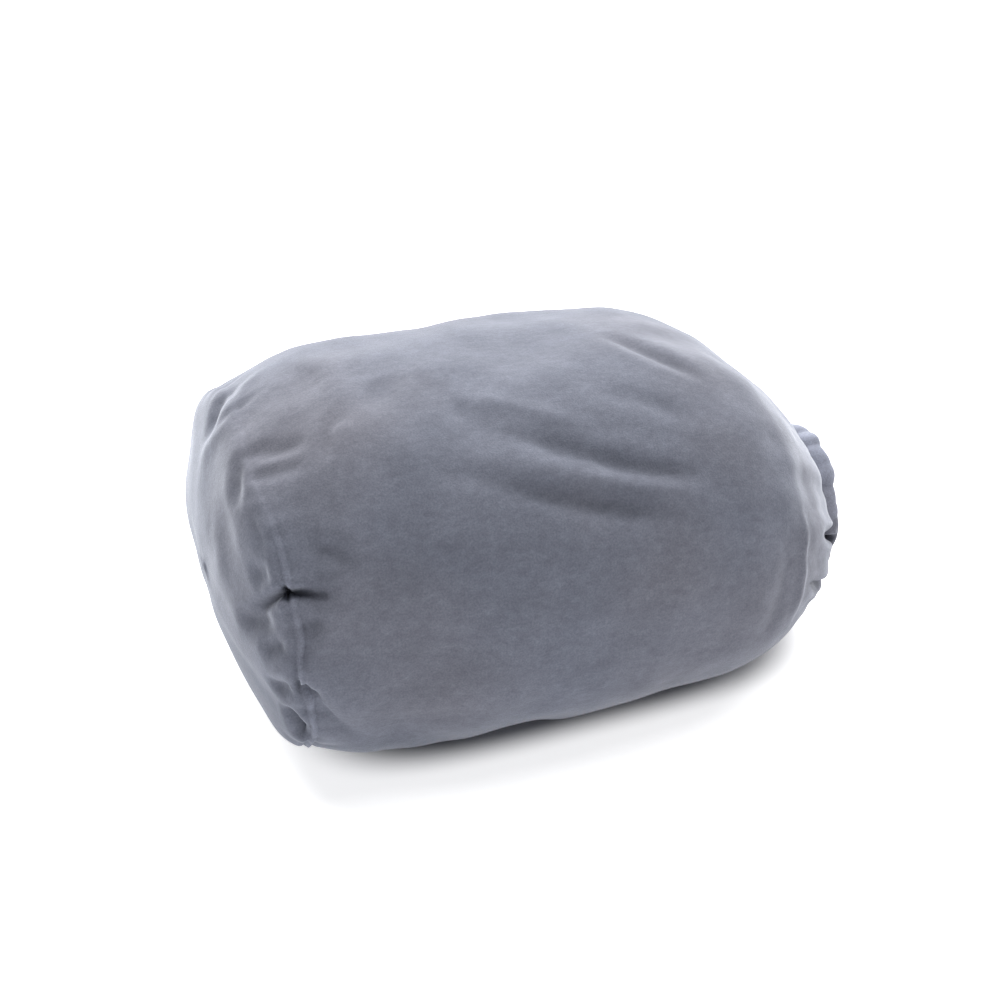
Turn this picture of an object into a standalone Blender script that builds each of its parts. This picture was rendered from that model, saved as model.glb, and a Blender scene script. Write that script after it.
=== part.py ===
"""A camp pillow, rolled up and stuffed into its own drawcord pouch.

Frame: metres, +Z up, +X from the sewn end towards the gathered mouth. The origin is on
the surface the pouch rests on, under the middle of its bounding box.
"""

import math

import bmesh
import bpy
from mathutils import Vector

# Driving dimensions of the pouch, in metres.
LENGTH = 0.277
END_BULGE = 0.019
HEM_WIDTH = 0.012
CLOTH = 0.0016
GAP = 0.0003
SINK = 0.006

# Cross-sections between the end seam and the drawcord: how far along (0 to 1), half the
# width, the underside's height, the top's height, and how square the outline is (2 is an
# ellipse).
STATIONS = (
    (0.000, 0.0820, 0.0130, 0.1285, 2.9),
    (0.110, 0.0835, 0.0000, 0.1415, 2.8),
    (0.300, 0.0925, 0.0000, 0.1425, 2.65),
    (0.500, 0.0953, 0.0000, 0.1415, 2.5),
    (0.675, 0.0915, 0.0000, 0.1390, 2.35),
    (0.800, 0.0830, 0.0025, 0.1285, 2.2),
    (0.900, 0.0625, 0.0085, 0.1045, 2.1),
    (0.955, 0.0440, 0.0115, 0.0880, 2.0),
    (0.975, 0.0340, 0.0144, 0.0824, 2.0),
)
BODY_LOOPS = (0.0, 0.03, 0.07, 0.11, 0.2, 0.3, 0.4, 0.5, 0.6, 0.675, 0.74, 0.8)
NECK_LOOPS = (0.85, 0.88, 0.91, 0.94, 0.96, 0.975)
GATHER_START = 0.8
GATHER_DEPTH = 0.0079
DOME_STEPS = (1.0, 0.97, 0.9, 0.76, 0.55, 0.3)
DOME_POWER = 2.2
AROUND = 32

X_END = -LENGTH / 2
X_SEAM = X_END + END_BULGE
X_MOUTH = LENGTH / 2
X_CORD = X_MOUTH - HEM_WIDTH / 2

# The hem around the mouth, which is the drawcord's channel.
HEM_RADIUS = 0.029
HEM_HALF_THICKNESS = 0.0045
HEM_WALL = 0.0011
HEM_SIDES = 12
HEM_SQUARENESS = 4.0
MOUTH_Z = 0.0484

# Tapes sewn over the raw edges inside the pouch.
TAPE = 0.0010
TAPE_WIDTH = 0.008
TAPE_INSET = CLOTH + GAP
SEAM_TAPE_STEPS = (27, 28)

# The pillow inside, under the tapes.
PANEL = 0.0010
PANEL_SPLIT = 0.0003
LOOSE = 0.0012
PILLOW_INSET = TAPE_INSET + TAPE + GAP + PANEL_SPLIT + LOOSE
FILL_INSET = PILLOW_INSET + 2 * PANEL + GAP
THROAT_SHARE = 0.88
THROAT_BULGE = 0.005
FILL_DOME_GAP = 0.0025

# The drawcord, its eyelets and its lock.
CORD_RADIUS = 0.0012
TAIL_X = X_CORD - 0.0035
TAIL_Y = 0.0045
TAIL_TOP_Z = 0.0585
KNOT_RADIUS = 0.0026
BEND_ANGLE = 21.0
BEND_REACH = 0.0036
CORD_STEP = 0.006
EYELET_BORE = 0.0018
EYELET_BARREL = 0.0025
EYELET_FLANGE = 0.0038
EYELET_THICKNESS = 0.0006
EYELET_HOLE = 0.0029
EYELET_SAG = 0.0004
MOUTH_BORE = HEM_RADIUS - HEM_HALF_THICKNESS
EYELET_TILT = math.asin(TAIL_Y / MOUTH_BORE)

LOCK_SIZE = Vector((0.0147, 0.0196, 0.0085))
LOCK_BOTTOM_Z = 0.0264
LOCK_FRONT_X = TAIL_X + 0.0045
LOCK_BEVEL = 0.0022
CAVITY_SIZE = Vector((0.0132, 0.0152, 0.0048))
CORD_HOLE = 0.0016
PRESS = 0.003
PLUNGER_DEPTH = 0.0105
PLUNGER_WIDTH = 0.0146
PLUNGER_HEIGHT = 0.0042
BUTTON_SIZE = Vector((0.0015, 0.0170, 0.0066))
SPRING_RADIUS = 0.00185
SPRING_WIRE = 0.00025
SPRING_TURNS = 3.5
SPRING_POINTS_PER_TURN = 12

LABEL_START_Y = 0.008
LABEL_WIDTH = 0.016
LABEL_LENGTH = 0.012
LABEL_THICKNESS = 0.0004
LABEL_STEPS = 4

VELOUR = (0.135, 0.142, 0.170)
LINING = (0.120, 0.127, 0.152)
TAPE_GREY = (0.060, 0.063, 0.075)
FOAM = (0.80, 0.76, 0.66)
BLACK = (0.015, 0.015, 0.017)
STEEL = (0.62, 0.62, 0.64)
GUNMETAL = (0.20, 0.20, 0.22)
WHITE = (0.82, 0.82, 0.80)


# Scene and materials


def clear_scene():
    for obj in list(bpy.data.objects):
        bpy.data.objects.remove(obj, do_unlink=True)


def finish(obj, colour, roughness, metallic=0.0):
    material = bpy.data.materials.new(obj.name + "_finish")
    material.use_nodes = True
    shader = material.node_tree.nodes["Principled BSDF"]
    shader.inputs["Base Color"].default_value = (*colour, 1.0)
    shader.inputs["Roughness"].default_value = roughness
    shader.inputs["Metallic"].default_value = metallic
    obj.data.materials.append(material)
    return obj


def add_object(name, data, location=(0.0, 0.0, 0.0), parent=None):
    obj = bpy.data.objects.new(name, data)
    bpy.context.scene.collection.objects.link(obj)
    obj.parent = parent
    obj.location = location
    return obj


def mesh_object(name, mesh_maker, location=(0.0, 0.0, 0.0), parent=None):
    """An object whose mesh is what mesh_maker(bm) builds, with its faces pointing out."""
    mesh = bpy.data.meshes.new(name)
    bm = bmesh.new()
    mesh_maker(bm)
    bmesh.ops.recalc_face_normals(bm, faces=bm.faces)
    bm.to_mesh(mesh)
    bm.free()
    mesh.shade_smooth()
    return add_object(name, mesh, location, parent)


def solidify(obj, thickness):
    """Gives an open surface its thickness, inwards."""
    modifier = obj.modifiers.new("thickness", "SOLIDIFY")
    modifier.thickness = thickness
    modifier.offset = -1.0
    modifier.use_even_offset = True


def boolean(obj, other, operation="DIFFERENCE"):
    other.hide_render = True
    other.display_type = "WIRE"
    modifier = obj.modifiers.new(other.name, "BOOLEAN")
    modifier.operation = operation
    modifier.object = other


def bevel(obj, width, segments=3):
    modifier = obj.modifiers.new("rounded edges", "BEVEL")
    modifier.width = width
    modifier.segments = segments


# The pouch's shape


def monotone_slopes(places, values):
    """A slope at each place, so that a cubic through the values never overshoots them."""
    pairs = range(len(places) - 1)
    steps = [(values[i + 1] - values[i]) / (places[i + 1] - places[i]) for i in pairs]
    inner = []
    for before, after in zip(steps, steps[1:]):
        turns = before * after <= 0.0
        inner.append(0.0 if turns else 2.0 * before * after / (before + after))
    return [steps[0], *inner, steps[-1]]


def smooth_value(places, values, place):
    """The value at a place on the smooth curve through the given values."""
    slopes = monotone_slopes(places, values)
    low = max(i for i in range(len(places) - 1) if i == 0 or places[i] <= place)
    span = places[low + 1] - places[low]
    u = (place - places[low]) / span
    rise = 3.0 * u**2 - 2.0 * u**3
    start_bend = u**3 - 2.0 * u**2 + u
    end_bend = u**3 - u**2
    straight = values[low] * (1.0 - rise) + values[low + 1] * rise
    return straight + span * (start_bend * slopes[low] + end_bend * slopes[low + 1])


def section_at(share):
    """Half width, underside, top and squareness of the pouch at a share of its length."""
    columns = list(zip(*STATIONS))
    return [smooth_value(columns[0], column, share) for column in columns[1:]]


def gather_at(share):
    """How much thicker the sleeve is where its cloth is gathered towards the mouth."""
    end = NECK_LOOPS[-1]
    return GATHER_DEPTH * max(0.0, (share - GATHER_START) / (end - GATHER_START))


def sink_at(share):
    """How much of the round outline the resting surface flattens; nothing near the mouth."""
    return SINK * min(1.0, max(0.0, (0.9 - share) / 0.15))


def signed_power(value, power):
    return math.copysign(abs(value) ** power, value)


def section_x(share):
    return X_SEAM + share * (X_CORD - X_SEAM)


def section_point(share, degrees, inset=0.0, scale=1.0, x=None):
    """A point of the pouch's outline, moved in by inset and scaled towards its middle."""
    half_width, bottom, top, squareness = section_at(share)
    sink = sink_at(share)
    middle = (top + bottom - sink) / 2
    half_height = (top - bottom + sink) / 2
    angle = math.radians(degrees)
    across = signed_power(math.cos(angle), 2.0 / squareness)
    up = signed_power(math.sin(angle), 2.0 / squareness)
    y = (half_width - inset) * across
    z = max(middle + (half_height - inset) * up, bottom + inset)
    z = middle + (z - middle) * scale
    return Vector((section_x(share) if x is None else x, y * scale, z))


def all_around():
    return [360.0 * step / AROUND for step in range(AROUND)]


def outline(share, angles, inset=0.0, scale=1.0, x=None):
    return [section_point(share, degrees, inset, scale, x) for degrees in angles]


def dome_rise(scale):
    """Height of a dome, as a share of its full height, where its ring is this share of its rim."""
    return (1.0 - scale**DOME_POWER) ** (1.0 / DOME_POWER)


def skin(bm, rows, close_rows=False, close_columns=True):
    """Faces between neighbouring rows of points, each row the same length."""
    grid = [[bm.verts.new(point) for point in row] for row in rows]
    row_pairs = list(zip(grid, grid[1:]))
    if close_rows:
        row_pairs.append((grid[-1], grid[0]))
    columns = len(grid[0])
    for row, following in row_pairs:
        for column in range(columns if close_columns else columns - 1):
            after = (column + 1) % columns
            bm.faces.new((row[column], row[after], following[after], following[column]))
    return grid


def close_with_point(bm, row, point, close_columns=True):
    """Triangles from one row of vertices to a single point."""
    tip = bm.verts.new(point)
    columns = len(row)
    for column in range(columns if close_columns else columns - 1):
        bm.faces.new((row[column], row[(column + 1) % columns], tip))


# The pouch


def pouch_sleeve():
    """The stuffed tube. Its wall thickens near the mouth, where the cloth is gathered."""
    loops = BODY_LOOPS + NECK_LOOPS

    def tube(bm):
        outer = [outline(share, all_around()) for share in loops]
        inner = [outline(share, all_around(), CLOTH + gather_at(share)) for share in loops]
        skin(bm, [*outer, *reversed(inner)], close_rows=True)

    return finish(mesh_object("pouch_sleeve", tube), VELOUR, 0.95)


def pouch_end_panel():
    """The domed panel that closes the sewn end. Its rim meets the sleeve's."""
    rim_x = X_SEAM - CLOTH - GAP
    height = rim_x - X_END

    def surface(bm):
        rows = []
        for scale in DOME_STEPS:
            rows.append(outline(0.0, all_around(), 0.0, scale, rim_x - height * dome_rise(scale)))
        grid = skin(bm, rows)
        close_with_point(bm, grid[-1], section_middle(0.0, X_END))

    panel = mesh_object("pouch_end_panel", surface)
    solidify(panel, CLOTH)
    return finish(panel, VELOUR, 0.95)


def section_middle(share, x):
    _, bottom, top, _ = section_at(share)
    return Vector((x, 0.0, (top + bottom - sink_at(share)) / 2))


def end_seam_binding():
    """The tape folded over the end seam's raw edges, inside the sleeve."""
    last_share = (TAPE_WIDTH + GAP) / (X_CORD - X_SEAM)
    first_share = GAP / (X_CORD - X_SEAM)

    def ring(bm):
        corners = (
            (first_share, TAPE_INSET),
            (last_share, TAPE_INSET),
            (last_share, TAPE_INSET + TAPE),
            (first_share, TAPE_INSET + TAPE),
        )
        rows = [outline(share, all_around(), inset) for share, inset in corners]
        skin(bm, rows, close_rows=True)

    return finish(mesh_object("end_seam_binding", ring), TAPE_GREY, 0.9)


def sleeve_seam_tape():
    """The tape over the sleeve's own seam, low at the back, inside."""

    angles = [360.0 * step / AROUND for step in SEAM_TAPE_STEPS]

    def strip(bm):
        rows = [outline(share, angles, TAPE_INSET) for share in BODY_LOOPS[2:-1]]
        skin(bm, rows, close_columns=False)

    tape = mesh_object("sleeve_seam_tape", strip)
    centre = section_middle(0.5, 0.0)
    outward = sum((f.normal.dot(f.center - centre) for f in tape.data.polygons))
    if outward < 0.0:
        tape.data.flip_normals()
    solidify(tape, TAPE)
    return finish(tape, TAPE_GREY, 0.9)


# The mouth


def hem_ring(degrees):
    """The hem's cross-section at an angle around the mouth, a rounded rectangle."""
    across = Vector((0.0, math.cos(math.radians(degrees)), math.sin(math.radians(degrees))))
    centre = Vector((X_CORD, 0.0, MOUTH_Z)) + across * HEM_RADIUS
    points = []
    for side in range(HEM_SIDES):
        turn = 2.0 * math.pi * (side + 0.5) / HEM_SIDES
        along = signed_power(math.cos(turn), 2.0 / HEM_SQUARENESS) * HEM_WIDTH / 2
        out = signed_power(math.sin(turn), 2.0 / HEM_SQUARENESS) * HEM_HALF_THICKNESS
        points.append(centre + Vector((along, 0.0, 0.0)) + across * out)
    return points


def seat_eyelet(obj, side, radius):
    """Stands an object on the hem's inner wall, its own +Z towards the mouth's middle."""
    y = side * radius * math.sin(EYELET_TILT)
    obj.location = (TAIL_X, y, MOUTH_Z - radius * math.cos(EYELET_TILT))
    obj.rotation_euler.x = side * EYELET_TILT
    return obj


def eyelet_cutter(side):
    def cylinder(bm):
        bmesh.ops.create_cone(
            bm, cap_ends=True, segments=16, radius1=EYELET_HOLE, radius2=EYELET_HOLE, depth=0.006
        )

    return seat_eyelet(mesh_object("eyelet_cutter", cylinder), side, MOUTH_BORE)


def drawcord_channel():
    """The hem folded over into a hollow ring, open where the cord's two ends leave it."""

    def surface(bm):
        skin(bm, [hem_ring(degrees) for degrees in all_around()], close_rows=True)

    channel = mesh_object("drawcord_channel", surface)
    solidify(channel, HEM_WALL)
    for side in (-1, 1):
        boolean(channel, eyelet_cutter(side))
    return finish(channel, VELOUR, 0.95)


def cord_eyelet(name, side):
    """A turned metal eyelet around one of the cord's two exits, its flange in the mouth."""
    depth = -HEM_WALL - EYELET_SAG - GAP
    profile = (
        (EYELET_BORE, EYELET_THICKNESS),
        (EYELET_FLANGE - GAP, EYELET_THICKNESS),
        (EYELET_FLANGE, EYELET_THICKNESS / 2),
        (EYELET_FLANGE, 0.0),
        (EYELET_BARREL, 0.0),
        (EYELET_BARREL, depth),
        (EYELET_BORE, depth),
    )
    mesh = bpy.data.meshes.new(name)
    count = len(profile)
    edges = [(i, (i + 1) % count) for i in range(count)]
    mesh.from_pydata([(radius, 0.0, height) for radius, height in profile], edges, [])
    eyelet = seat_eyelet(add_object(name, mesh), side, MOUTH_BORE - EYELET_SAG)
    turn = eyelet.modifiers.new("turned", "SCREW")
    turn.steps = 20
    turn.render_steps = 20
    turn.use_merge_vertices = True
    turn.merge_threshold = 0.00001
    turn.use_smooth_shade = True
    return finish(eyelet, GUNMETAL, 0.35, 1.0)


def bend_points(side):
    """The cord's turn from the channel up into one tail, as a cubic curve."""
    degrees = math.radians(270.0 + side * BEND_ANGLE)
    radial = Vector((0.0, math.cos(degrees), math.sin(degrees)))
    tangent = Vector((0.0, -side * abs(radial.z), -abs(radial.y)))
    start = Vector((TAIL_X, 0.0, MOUTH_Z)) + radial * HEM_RADIUS
    end = Vector((TAIL_X, side * TAIL_Y, MOUTH_Z - MOUTH_BORE - HEM_WALL))
    first = start + tangent * BEND_REACH
    second = end - Vector((0.0, 0.0, BEND_REACH))
    points = []
    for step in range(8):
        u = step / 7
        points.append(
            start * (1 - u) ** 3
            + first * 3 * u * (1 - u) ** 2
            + second * 3 * u**2 * (1 - u)
            + end * u**3
        )
    return points


def cord_route():
    """From one tail's top, down into the channel, around the mouth and up the other tail."""
    left = bend_points(-1)
    right = bend_points(1)
    sweep = 360.0 - 2 * BEND_ANGLE
    count = round(math.radians(sweep) * HEM_RADIUS / CORD_STEP)
    loop = []
    for step in range(1, count):
        degrees = math.radians(270.0 - BEND_ANGLE - sweep * step / count)
        y = HEM_RADIUS * math.cos(degrees)
        z = MOUTH_Z + HEM_RADIUS * math.sin(degrees)
        loop.append(Vector((TAIL_X, y, z)))
    tops = [Vector((TAIL_X, side * TAIL_Y, TAIL_TOP_Z)) for side in (-1, 1)]
    return [tops[0], *reversed(left), *loop, *right, tops[1]]


def curve_tube(name, points, radius, location=(0.0, 0.0, 0.0), parent=None):
    curve = bpy.data.curves.new(name, "CURVE")
    curve.dimensions = "3D"
    curve.bevel_depth = radius
    curve.bevel_resolution = 2
    curve.use_fill_caps = True
    spline = curve.splines.new("POLY")
    spline.points.add(len(points) - 1)
    for spline_point, point in zip(spline.points, points):
        spline_point.co = (*point, 1.0)
    return add_object(name, curve, location, parent)


def drawcord():
    return finish(curve_tube("drawcord", cord_route(), CORD_RADIUS), BLACK, 0.8)


def cord_knot(name, side):
    """The knot at the top of one tail, which keeps the lock on the cord."""

    def ball(bm):
        bmesh.ops.create_uvsphere(bm, u_segments=12, v_segments=8, radius=KNOT_RADIUS)

    location = (TAIL_X, side * TAIL_Y, TAIL_TOP_Z + GAP + KNOT_RADIUS)
    return finish(mesh_object(name, ball, location), BLACK, 0.8)


# The cord lock


def box(name, size, location, parent=None):
    def cube(bm):
        bmesh.ops.create_cube(bm, size=1.0)
        bmesh.ops.scale(bm, vec=size, verts=bm.verts)

    return mesh_object(name, cube, location, parent)


def slot_cutter(name, width, length, location, parent):
    """An upright slot with round ends, long along X."""
    radius = width / 2
    reach = length / 2 - radius

    def prism(bm):
        outline_points = []
        for step in range(16):
            angle = 2.0 * math.pi * (step + 0.5) / 16
            x = radius * math.cos(angle) + math.copysign(reach, math.cos(angle))
            outline_points.append((x, radius * math.sin(angle), -0.01))
        face = bm.faces.new([bm.verts.new(point) for point in outline_points])
        grown = bmesh.ops.extrude_face_region(bm, geom=[face])
        top = [item for item in grown["geom"] if isinstance(item, bmesh.types.BMVert)]
        bmesh.ops.translate(bm, verts=top, vec=(0.0, 0.0, 0.02))

    return mesh_object(name, prism, location, parent)


def cord_lock():
    """A two-hole spring lock on the cord's tails. Its button faces out of the mouth."""
    slide = add_object("cord_lock_slide", None, (TAIL_X, 0.0, LOCK_BOTTOM_Z + LOCK_SIZE.z / 2))
    front = LOCK_FRONT_X - TAIL_X

    body = box("cord_lock_body", LOCK_SIZE, (front - LOCK_SIZE.x / 2, 0.0, 0.0), slide)
    bevel(body, LOCK_BEVEL)
    cavity_x = front - CAVITY_SIZE.x / 2
    overcut = Vector((0.001, 0.0, 0.0))
    cavity = box("cavity_cutter", CAVITY_SIZE + overcut, (cavity_x + 0.0005, 0.0, 0.0), slide)
    boolean(body, cavity)
    for side in (-1, 1):
        hole = slot_cutter(
            "cord_hole_cutter", 2 * CORD_HOLE, 2 * CORD_HOLE, (0.0, side * TAIL_Y, 0.0), slide
        )
        boolean(body, hole)
    body.data.set_sharp_from_angle(angle=math.radians(40.0))
    finish(body, BLACK, 0.45)

    lock_plunger(slide, front)
    lock_spring(slide, front)


def lock_plunger(slide, front):
    """The sprung slider. At rest the cord is pinched at the inner ends of its slots."""
    button_x = front + PRESS + GAP
    back_x = front + PRESS - PLUNGER_DEPTH
    shaft_size = Vector((button_x + BUTTON_SIZE.x / 2 - back_x, PLUNGER_WIDTH, PLUNGER_HEIGHT))
    plunger = box("cord_lock_plunger", shaft_size, (back_x + shaft_size.x / 2, 0.0, 0.0), slide)
    button = box("button_shape", BUTTON_SIZE, (button_x + BUTTON_SIZE.x / 2, 0.0, 0.0), slide)
    boolean(plunger, button, "UNION")
    slot_start = -CORD_RADIUS - GAP
    slot_length = 2 * CORD_RADIUS + PRESS + 2 * GAP
    for side in (-1, 1):
        middle = (slot_start + slot_length / 2, side * TAIL_Y, 0.0)
        boolean(plunger, slot_cutter("slot_cutter", 2 * CORD_HOLE, slot_length, middle, slide))
    plunger.data.set_sharp_from_angle(angle=math.radians(40.0))
    return finish(plunger, BLACK, 0.45)


def lock_spring(slide, front):
    """The coil between the bottom of the lock's cavity and the plunger."""
    start_x = front - CAVITY_SIZE.x + SPRING_WIRE + GAP
    end_x = front + PRESS - PLUNGER_DEPTH - SPRING_WIRE - GAP
    count = round(SPRING_TURNS * SPRING_POINTS_PER_TURN)
    points = []
    for step in range(count + 1):
        turn = 2.0 * math.pi * SPRING_TURNS * step / count
        x = (end_x - start_x) * step / count
        points.append((x, SPRING_RADIUS * math.cos(turn), SPRING_RADIUS * math.sin(turn)))
    spring = curve_tube("cord_lock_spring", points, SPRING_WIRE, (start_x, 0.0, 0.0), slide)
    return finish(spring, STEEL, 0.3, 1.0)


# The pillow


def pillow_rows(angles, inset, dome_gap=0.0):
    """Rows of the rolled pillow's surface, from its sewn end to the end in the mouth."""
    rows = []
    rim_x = X_SEAM
    height = END_BULGE - inset - CLOTH - dome_gap
    for scale in reversed(DOME_STEPS[1:]):
        rows.append(outline(0.0, angles, inset, scale, rim_x - height * dome_rise(scale)))
    for share in (*BODY_LOOPS, *NECK_LOOPS):
        if share <= THROAT_SHARE:
            rows.append(outline(share, angles, inset + gather_at(share)))
    last_inset = inset + gather_at(THROAT_SHARE)
    for scale in DOME_STEPS[1:]:
        x = throat_x(scale, dome_gap)
        rows.append(outline(THROAT_SHARE, angles, last_inset, scale, x))
    return rows


def throat_x(scale, dome_gap=0.0):
    """Where the pillow's end in the mouth has narrowed to this share of its rim."""
    return section_x(THROAT_SHARE) + (THROAT_BULGE - dome_gap) * dome_rise(scale)


def pillow_tips(inset, dome_gap=0.0):
    height = END_BULGE - inset - CLOTH - dome_gap
    sewn_tip = section_middle(0.0, X_SEAM - height)
    mouth_tip = section_middle(THROAT_SHARE, throat_x(0.0, dome_gap))
    return sewn_tip, mouth_tip


def pillow_fill():
    def solid(bm):
        grid = skin(bm, pillow_rows(all_around(), FILL_INSET, FILL_DOME_GAP))
        sewn_tip, mouth_tip = pillow_tips(FILL_INSET, FILL_DOME_GAP)
        close_with_point(bm, grid[0], sewn_tip)
        close_with_point(bm, grid[-1], mouth_tip)

    return finish(mesh_object("pillow_fill", solid), FOAM, 0.95)


def pillow_panel(name, start_degrees, side):
    """One of the cover's two panels: the half of it above or below the pillow's edge seam."""
    steps = AROUND // 2
    angles = [start_degrees + 180.0 * step / steps for step in range(steps + 1)]

    def surface(bm):
        grid = skin(bm, pillow_rows(angles, PILLOW_INSET), close_columns=False)
        sewn_tip, mouth_tip = pillow_tips(PILLOW_INSET)
        close_with_point(bm, grid[0], sewn_tip, close_columns=False)
        close_with_point(bm, grid[-1], mouth_tip, close_columns=False)

    panel = mesh_object(name, surface, (0.0, 0.0, side * PANEL_SPLIT))
    middle = section_middle(0.5, 0.0)
    outward = sum(f.normal.dot(f.center - middle) for f in panel.data.polygons)
    if outward < 0.0:
        panel.data.flip_normals()
    solidify(panel, PANEL)
    return finish(panel, LINING, 0.95)


def care_label():
    """A blank label, sewn into the pillow's edge seam where it shows in the mouth."""
    half_width = section_at(THROAT_SHARE)[0] - PILLOW_INSET - gather_at(THROAT_SHARE)
    seam_z = section_middle(THROAT_SHARE, 0.0).z

    def slab(bm):
        points = []
        for step in range(LABEL_STEPS + 1):
            y = LABEL_START_Y + LABEL_WIDTH * step / LABEL_STEPS
            points.append((throat_x(y / half_width) + 2 * GAP, y, seam_z))
        end_x = points[0][0] + LABEL_LENGTH
        points.append((end_x, LABEL_START_Y + LABEL_WIDTH, seam_z))
        points.append((end_x, LABEL_START_Y, seam_z))
        face = bm.faces.new([bm.verts.new(point) for point in points])
        grown = bmesh.ops.extrude_face_region(bm, geom=[face])
        top = [item for item in grown["geom"] if isinstance(item, bmesh.types.BMVert)]
        bmesh.ops.translate(bm, verts=top, vec=(0.0, 0.0, LABEL_THICKNESS))

    return finish(mesh_object("care_label", slab), WHITE, 0.7)


clear_scene()
pouch_sleeve()
pouch_end_panel()
end_seam_binding()
sleeve_seam_tape()
drawcord_channel()
cord_eyelet("cord_eyelet_left", -1)
cord_eyelet("cord_eyelet_right", 1)
drawcord()
cord_knot("cord_knot_left", -1)
cord_knot("cord_knot_right", 1)
cord_lock()
pillow_fill()
pillow_panel("pillow_front_panel", 0.0, 1)
pillow_panel("pillow_back_panel", 180.0, -1)
care_label()
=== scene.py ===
"""Looks of a camp pillow packed in its drawcord pouch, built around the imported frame.

Metres, +X towards the gathered mouth, +Z up.  Angles round the pouch are degrees, seen along
the axis: 0 on the far side (+Y), 90 on top, 180 on the near side and 270 underneath.
"""

import math

import bpy
import numpy as np
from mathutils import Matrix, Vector


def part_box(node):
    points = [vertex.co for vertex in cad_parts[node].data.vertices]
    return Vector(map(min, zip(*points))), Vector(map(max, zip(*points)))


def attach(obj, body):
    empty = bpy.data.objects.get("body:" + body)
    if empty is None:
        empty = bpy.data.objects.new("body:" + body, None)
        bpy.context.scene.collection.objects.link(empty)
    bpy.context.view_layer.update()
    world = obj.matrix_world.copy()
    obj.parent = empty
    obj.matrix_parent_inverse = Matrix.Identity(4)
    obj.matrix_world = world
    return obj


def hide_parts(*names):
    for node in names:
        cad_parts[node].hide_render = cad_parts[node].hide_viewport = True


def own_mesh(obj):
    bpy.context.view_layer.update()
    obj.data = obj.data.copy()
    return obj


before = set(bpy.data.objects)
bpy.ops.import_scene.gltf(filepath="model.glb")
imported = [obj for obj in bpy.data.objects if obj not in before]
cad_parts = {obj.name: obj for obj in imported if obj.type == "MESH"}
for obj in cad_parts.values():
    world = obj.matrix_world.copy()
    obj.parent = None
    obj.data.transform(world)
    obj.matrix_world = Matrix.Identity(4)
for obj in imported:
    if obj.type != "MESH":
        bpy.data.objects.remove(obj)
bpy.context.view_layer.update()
SCENE = bpy.context.scene
SCENE.view_settings.view_transform = "Standard"

# ---------------------------------------------------------------- camera
CAMERA_AZIMUTH = 21.27  # degrees from the look along +Y, turned towards +X
CAMERA_ELEVATION = 30.81
CAMERA_DISTANCE = 0.6237
CAMERA_AIM = np.array((0.0065, 0.0, 0.085))
CAMERA_SIDE = -0.0201
CAMERA_RISE = -0.0151
CAMERA_LENS_MM = 53.9
SENSOR_MM = 36.0


def linked(name, data):
    """A new object in the scene."""
    thing = bpy.data.objects.new(name, data)
    SCENE.collection.objects.link(thing)
    return thing


def add_camera():
    azimuth = math.radians(CAMERA_AZIMUTH)
    elevation = math.radians(CAMERA_ELEVATION)
    right = np.array((math.cos(azimuth), -math.sin(azimuth), 0.0))
    ahead = np.array((math.sin(azimuth), math.cos(azimuth), 0.0))
    lift = np.array((0.0, 0.0, 1.0))
    look = ahead * math.cos(elevation) - lift * math.sin(elevation)
    rise = ahead * math.sin(elevation) + lift * math.cos(elevation)
    place = CAMERA_AIM - look * CAMERA_DISTANCE + right * CAMERA_SIDE + rise * CAMERA_RISE
    data = bpy.data.cameras.new("camera")
    data.lens = CAMERA_LENS_MM
    data.sensor_width = SENSOR_MM
    data.clip_start = 0.01
    camera = linked("camera", data)
    camera.location = place
    camera.rotation_euler = Vector(look).to_track_quat("-Z", "Y").to_euler()
    SCENE.camera = camera


# ---------------------------------------------------------------- the pouch's form
SEAM_X = -0.1195  # plane of the sewn end's seam, at its corners
CORD_X = 0.1325
END_BULGE = 0.0188
DOME_POWER = 2.2
SINK = 0.006  # how far the loaded underside would reach below the floor if it were round
FLOOR_EASE = 0.003
SINK_END = 0.9  # share along the sleeve where that ends
SINK_FADE = 0.15
UNDER_SQUARENESS = 0.3  # the lower half is squarer than the upper by this

# share of the way from the seam to the cord, half width, underside, top, squareness
SECTIONS = np.array(
    (
        (0.000, 0.0818, 0.0120, 0.1298, 2.40),
        (0.110, 0.0835, 0.0000, 0.1408, 2.52),
        (0.300, 0.0925, 0.0000, 0.1405, 2.36),
        (0.500, 0.0953, 0.0000, 0.1395, 2.30),
        (0.675, 0.0915, 0.0000, 0.1365, 2.20),
        (0.800, 0.0830, 0.0025, 0.1255, 2.10),
        (0.900, 0.0610, 0.0085, 0.0960, 2.05),
        (0.955, 0.0440, 0.0110, 0.0840, 2.00),
    )
)
# degrees, and how far the seam bows out beyond the corners' plane
SEAM_BOW = np.array(
    (
        (0, -0.0030), (40, 0.0004), (66, 0.0022), (84, 0.0010),
        (95, -0.0015), (110, -0.0040), (130, -0.0034), (170, -0.0026),
        (188, -0.0012), (205, 0.0012), (240, 0.0010), (290, 0.0010),
        (330, -0.0015), (360, -0.0030),
    )
)
SEAM_BOW_REACH = 0.25  # share along the sleeve over which the bow fades

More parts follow.
